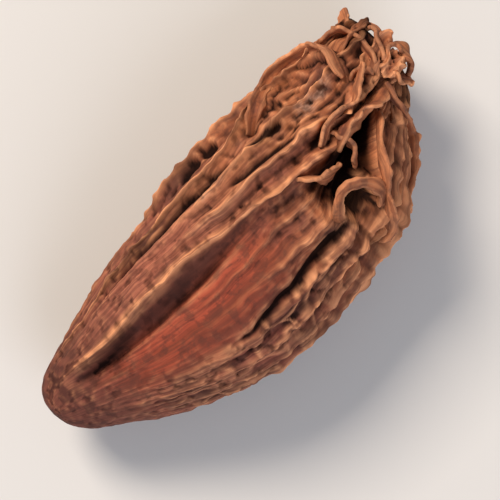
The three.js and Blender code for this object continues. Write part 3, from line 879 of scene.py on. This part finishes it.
def dried_husk(colours):
    """Dried seed husk, a brown fibrous skin like coarse paper, cured over smoke.

    It scatters light nearly evenly, with a faint gloss on the rubbed edges. The eye sees tan wing edges,
    rubbed pale and given a painted highlight, brown sides with lengthwise streaks, and furrows that
    painted shade turns almost black.
    """
    material = bpy.data.materials.new("dried_husk")
    material.use_nodes = True
    material.node_tree.nodes.clear()

    def mask(name):
        return add_node(material, "ShaderNodeAttribute", attribute_name=name).outputs

    def mix(factor, first, second):
        node = add_node(material, "ShaderNodeMix", data_type="RGBA")
        for socket, value in ((0, factor), (6, first), (7, second)):
            if isinstance(value, bpy.types.NodeSocket):
                material.node_tree.links.new(value, node.inputs[socket])
            else:
                node.inputs[socket].default_value = value
        return node.outputs[2]

    def ramp(value, low, high):
        links = {0: value, 1: low, 2: high}
        return add_node(material, "ShaderNodeMapRange", links, interpolation_type="SMOOTHSTEP").outputs[0]

    def maths(operation, first, second):
        return add_node(material, "ShaderNodeMath", {0: first, 1: second}, operation=operation).outputs[0]

    def pattern(vector, size, detail=3.0):
        links = {"Vector": vector, "Scale": 1 / size, "Detail": detail, "Roughness": 0.6}
        return add_node(material, "ShaderNodeTexNoise", links).outputs["Fac"]

    place = add_node(material, "ShaderNodeTexCoord").outputs["Object"]
    grain = mask("grain")["Vector"]
    drawn_out = {"Vector": grain, "Scale": (FIBRE_RHYTHM, 1, 1)}
    fibres = add_node(material, "ShaderNodeMapping", drawn_out).outputs[0]
    fine_streaks = pattern(fibres, FIBRE_WIDTH)
    broad_streaks = pattern(fibres, STREAK_WIDTH)
    mottle = pattern(place, BLOTCH_SIZE * MM, 4.0)
    speckle = pattern(place, SPECK_SIZE * MM)
    dust = pattern(place, DUST_SIZE * MM)

    colour = {name: linear(getattr(colours, name)) for name in CardamomColours.__annotations__}
    rust = mix(ramp(broad_streaks, 0.3, 0.7), colour["rust_dark"], colour["rust"])
    plum = mix(ramp(speckle, 0.4, 0.6), colour["plum_dark"], colour["plum"])
    body = mix(ramp(mottle, 0.35, 0.65), colour["dark_brown"], colour["brown"])
    body = mix(maths("MULTIPLY", ramp(broad_streaks, 0.42, 0.66), 0.6), body, colour["tan"])
    body = mix(maths("MULTIPLY", mask("band")["Fac"], 0.7), body, colour["tan"])
    body = mix(maths("MULTIPLY", mask("panel")["Fac"], 0.9), body, rust)
    body = mix(maths("MULTIPLY", mask("crown")["Fac"], ramp(mottle, 0.3, 0.6)), body, colour["straw_brown"])
    body = mix(mask("base")["Fac"], body, plum)
    # Painted highlight: grey-pink on the smooth patches, broken up by the dust pattern.
    body = mix(maths("MULTIPLY", mask("sheen_patch")["Fac"], ramp(dust, 0.3, 0.6)), body, colour["grey_pink"])
    body = mix(maths("MULTIPLY", ramp(speckle, 0.5, 0.38), 0.5), body, colour["dark_brown"])
    # Straw on the rubbed edges, which is wear, and on raised points, which is a painted highlight.
    wear_and_highlight_factor = maths("MULTIPLY", mask("wear_and_highlight")["Fac"], ramp(fine_streaks, 0.2, 0.55))
    body = mix(wear_and_highlight_factor, body, colour["straw"])
    body = mix(maths("MULTIPLY", ramp(fine_streaks, 0.62, 0.4), 0.45), body, colour["dark_brown"])
    # Painted shade: near black where the furrow mask is high.
    body = mix(maths("MULTIPLY", mask("furrow")["Fac"], 0.96), body, colour["furrow"])

    roughness = ramp(mask("wear_and_highlight")["Fac"], 0.0, 1.0)
    roughness.node.inputs[3].default_value = 0.82
    roughness.node.inputs[4].default_value = 0.58

    gloss = maths("MULTIPLY", maths("SUBTRACT", 1.0, mask("furrow")["Fac"]), 0.18)
    calm = maths("SUBTRACT", 1.0, maths("MULTIPLY", mask("base")["Fac"], 0.75))
    calm = maths("MAXIMUM", 0.0, maths("SUBTRACT", calm, maths("MULTIPLY", mask("furrow")["Fac"], 0.8)))
    height = maths("ADD", maths("MULTIPLY", fine_streaks, calm), maths("MULTIPLY", dust, 0.7))
    bump_links = {"Height": height, "Distance": BUMP_DEPTH * MM, "Strength": 0.8}
    bump = add_node(material, "ShaderNodeBump", bump_links)
    shader = add_node(material, "ShaderNodeBsdfPrincipled", {
        "Base Color": body, "Roughness": roughness, "Normal": bump.outputs[0],
        "Specular IOR Level": gloss,
    })
    add_node(material, "ShaderNodeOutputMaterial", {"Surface": shader.outputs[0]})
    return material


def matt_floor(colour):
    """Matt white board: it takes the pod's shadow and shows nothing else."""
    material = bpy.data.materials.new("matt_board")
    material.use_nodes = True
    shader = material.node_tree.nodes["Principled BSDF"]
    shader.inputs["Base Color"].default_value = linear(colour)
    shader.inputs["Roughness"].default_value = 0.9
    shader.inputs["Specular IOR Level"].default_value = 0.2
    return material


def husk_material():
    """The one husk material, made when the first piece asks for it."""
    return bpy.data.materials.get("dried_husk") or dried_husk(bpy.context.scene.cardamom_colours)


class CardamomShape(bpy.types.PropertyGroup):
    wing_height: bpy.props.FloatProperty(
        name="Wing height", description="How high the wings stand, against the solid's", default=1.0, min=0.0,
        max=2.0, subtype="FACTOR")
    wrinkle_gain: bpy.props.FloatProperty(
        name="Wrinkles", description="How deep the wrinkles and furrows are", default=1.0, min=0.0, max=2.0,
        subtype="FACTOR")
    tear: bpy.props.FloatProperty(
        name="Torn edges", description="How ragged the wings' edges are", default=1.0, min=0.0, max=2.0,
        subtype="FACTOR")
    strip_thickness: bpy.props.FloatProperty(
        name="Strip thickness", description="Thickness of the loose strips of husk", default=0.2 * MM,
        min=0.1 * MM, unit="LENGTH")


class CardamomColours(bpy.types.PropertyGroup):
    dark_brown: bpy.props.StringProperty(
        name="Dark brown", description="Shaded patches of the husk", default="#563229")
    brown: bpy.props.StringProperty(
        name="Brown", description="Most of the husk", default="#864636")
    tan: bpy.props.StringProperty(
        name="Tan", description="Broad light streaks", default="#B66D55")
    # Straw is both the colour of rubbed edges and a painted highlight on raised points.
    straw: bpy.props.StringProperty(
        name="Straw", description="Rubbed wing edges", default="#EA9F6E")
    straw_brown: bpy.props.StringProperty(
        name="Straw brown", description="The husk near the crown", default="#B06842")
    rust: bpy.props.StringProperty(
        name="Rust", description="The smooth sunken panel", default="#B04E35")
    rust_dark: bpy.props.StringProperty(
        name="Dark rust", description="Streaks in the panel", default="#843C29")
    # Grey pink is the colour of the painted highlight on the smooth patches.
    grey_pink: bpy.props.StringProperty(
        name="Grey pink", description="A pale bloomed patch", default="#BC917C")
    plum: bpy.props.StringProperty(
        name="Plum brown", description="The plain stalk end", default="#7C4638")
    plum_dark: bpy.props.StringProperty(
        name="Dark plum", description="Mottling of the stalk end", default="#5C3229")
    # The colour of the painted shade in furrows, holes and hollows.
    furrow: bpy.props.StringProperty(
        name="Furrow", description="Deep furrows and holes", default="#17100F")


class CardamomStage(bpy.types.PropertyGroup):
    floor_colour: bpy.props.StringProperty(
        name="Floor", description="Colour of the board", default="#D9D5CF")
    key_power: bpy.props.FloatProperty(
        name="Key light", description="Power of the main soft light", default=1.92, unit="POWER")
    fill_power: bpy.props.FloatProperty(
        name="Fill light", description="Power of the light on the other side", default=0.95, unit="POWER")
    view_width: bpy.props.FloatProperty(
        name="View width", description="How wide a view the camera takes in", default=30.5 * MM,
        unit="LENGTH")
    picture_turn: bpy.props.FloatProperty(
        name="Picture turn", description="How far the pod's crown points up from the picture's right",
        default=math.radians(46.2), subtype="ANGLE")


class CARDAMOM_OT_husk(bpy.types.Operator):
    """Make the husk, with its wings, sunken panel, split and crown pit"""
    bl_idname = "cardamom.husk"
    bl_label = "Husk"

    def execute(self, context):
        make_husk(context.scene.cardamom_shape, husk_material())
        return {"FINISHED"}


class CARDAMOM_OT_split_loop(bpy.types.Operator):
    """Make the loop of husk that has sprung up beside the split"""
    bl_idname = "cardamom.split_loop"
    bl_label = "Loop beside the split"

    def execute(self, context):
        shape = context.scene.cardamom_shape
        loop = make_strip("split_loop", over_husk(LOOP_PATH), shape, seed=1, width=LOOP_WIDTH, on_edge=False,
                          cup=-0.25, stout=2.4)
        finish_piece(loop, husk_material())
        return {"FINISHED"}


class CARDAMOM_OT_shoulder_strips(bpy.types.Operator):
    """Make the loose wing ends that cross the shoulder to the crown"""
    bl_idname = "cardamom.shoulder_strips"
    bl_label = "Shoulder strips"

    def execute(self, context):
        shape = context.scene.cardamom_shape
        strips = [
            make_strip("strip", over_husk(path), shape, seed=10 + number, width=STRIP_WIDTH, on_edge=True,
                       cup=0.25, taper=thin_ends(0.4), stout=1.2)
            for number, path in enumerate(SHOULDER_PATHS)
        ]
        finish_piece(join(strips, "shoulder_strips"), husk_material())
        return {"FINISHED"}


class CARDAMOM_OT_crown_tips(bpy.types.Operator):
    """Make the curled tips round the crown's rim"""
    bl_idname = "cardamom.crown_tips"
    bl_label = "Crown tips"

    def execute(self, context):
        shape = context.scene.cardamom_shape
        tips = [
            make_strip("tip", over_husk(crown_tip_path(number)), shape, seed=30 + number, width=TIP_WIDTH,
                       on_edge=False, cup=0.5, steps=26, taper=lambda t: 1 - 0.6 * t * t)
            for number in range(CROWN_TIP_COUNT)
        ]
        finish_piece(join(tips, "crown_tips"), husk_material())
        return {"FINISHED"}


class CARDAMOM_OT_crown_curls(bpy.types.Operator):
    """Make the thin curls that stand on the shoulder and the crown, and the strands across the split"""
    bl_idname = "cardamom.crown_curls"
    bl_label = "Curls and strands"

    def execute(self, context):
        shape = context.scene.cardamom_shape
        curls = [
            make_strip("curl", from_middle(path), shape, seed=50 + number, width=CURL_WIDTH, on_edge=True,
                       cup=0.1, steps=40, taper=thin_ends(0.5), stout=1.35)
            for number, path in enumerate(CURLS)
        ]
        curls.append(make_knot(shape))
        finish_piece(join(curls, "crown_curls"), husk_material())
        return {"FINISHED"}


class CARDAMOM_OT_stage(bpy.types.Operator):
    """Make the floor, the lights and the camera, which looks straight down on the pod"""
    bl_idname = "cardamom.stage"
    bl_label = "Stage"

    def execute(self, context):
        stage = context.scene.cardamom_stage
        bpy.ops.object.select_all(action="DESELECT")
        bpy.ops.mesh.primitive_plane_add(size=FLOOR_WIDTH, location=(0, 0, 0))
        floor = new_name("floor")
        floor.data.materials.append(matt_floor(stage.floor_colour))

        world = bpy.data.worlds.new("soft_room")
        world.use_nodes = True
        world.node_tree.nodes["Background"].inputs["Color"].default_value = linear(ROOM_COLOUR)
        world.node_tree.nodes["Background"].inputs["Strength"].default_value = ROOM_STRENGTH
        context.scene.world = world
        context.scene.view_settings.view_transform = "Standard"

        add_softbox("key_light", KEY_PLACE, KEY_WIDTH, stage.key_power, KEY_COLOUR)
        add_softbox("fill_light", FILL_PLACE, FILL_WIDTH, stage.fill_power, FILL_COLOUR)

        camera = bpy.data.cameras.new("camera")
        camera.lens = CAMERA_LENS
        camera.clip_start = 0.01
        middle = (CAD_LOW + CAD_HIGH) / 2 * MM
        distance = stage.view_width * camera.lens / camera.sensor_width
        holder = bpy.data.objects.new("camera", camera)
        holder.location = (middle[0], middle[1], middle[2] + distance)
        holder.rotation_euler = (0, 0, -stage.picture_turn)
        context.scene.collection.objects.link(holder)
        context.scene.camera = holder
        return {"FINISHED"}


def add_softbox(name, place, size, power, colour):
    """A square soft light that faces the pod."""
    bpy.ops.object.light_add(type="AREA", location=place)
    box = bpy.context.object
    box.name = name
    box.data.size = size
    box.data.energy = power
    box.data.color = linear(colour)[:3]
    box.rotation_euler = Vector(place).to_track_quat("Z", "Y").to_euler()


class CARDAMOM_PT_pod(bpy.types.Panel):
    """Lists the pod's pieces and its settings"""
    bl_idname = "CARDAMOM_PT_pod"
    bl_label = "Black cardamom pod"
    bl_space_type = "VIEW_3D"
    bl_region_type = "UI"
    bl_category = "Cardamom"

    def draw(self, context):
        for operator in OPERATORS:
            self.layout.operator(operator.bl_idname)
        scene = context.scene
        for settings in (scene.cardamom_shape, scene.cardamom_colours, scene.cardamom_stage):
            box = self.layout.box()
            for name in settings.__annotations__:
                box.prop(settings, name)


OPERATORS = (
    CARDAMOM_OT_husk, CARDAMOM_OT_split_loop, CARDAMOM_OT_shoulder_strips, CARDAMOM_OT_crown_tips,
    CARDAMOM_OT_crown_curls, CARDAMOM_OT_stage,
)
CLASSES = (CardamomShape, CardamomColours, CardamomStage, *OPERATORS, CARDAMOM_PT_pod)


def register():
    for cls in CLASSES:
        bpy.utils.register_class(cls)
    bpy.types.Scene.cardamom_shape = bpy.props.PointerProperty(type=CardamomShape)
    bpy.types.Scene.cardamom_colours = bpy.props.PointerProperty(type=CardamomColours)
    bpy.types.Scene.cardamom_stage = bpy.props.PointerProperty(type=CardamomStage)


def unregister():
    del bpy.types.Scene.cardamom_stage
    del bpy.types.Scene.cardamom_colours
    del bpy.types.Scene.cardamom_shape
    for cls in reversed(CLASSES):
        bpy.utils.unregister_class(cls)


def main():
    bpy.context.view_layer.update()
    register()
    bpy.ops.cardamom.husk()
    bpy.ops.cardamom.split_loop()
    bpy.ops.cardamom.shoulder_strips()
    bpy.ops.cardamom.crown_tips()
    bpy.ops.cardamom.crown_curls()
    bpy.ops.cardamom.stage()


if __name__ == "__main__":
    main()
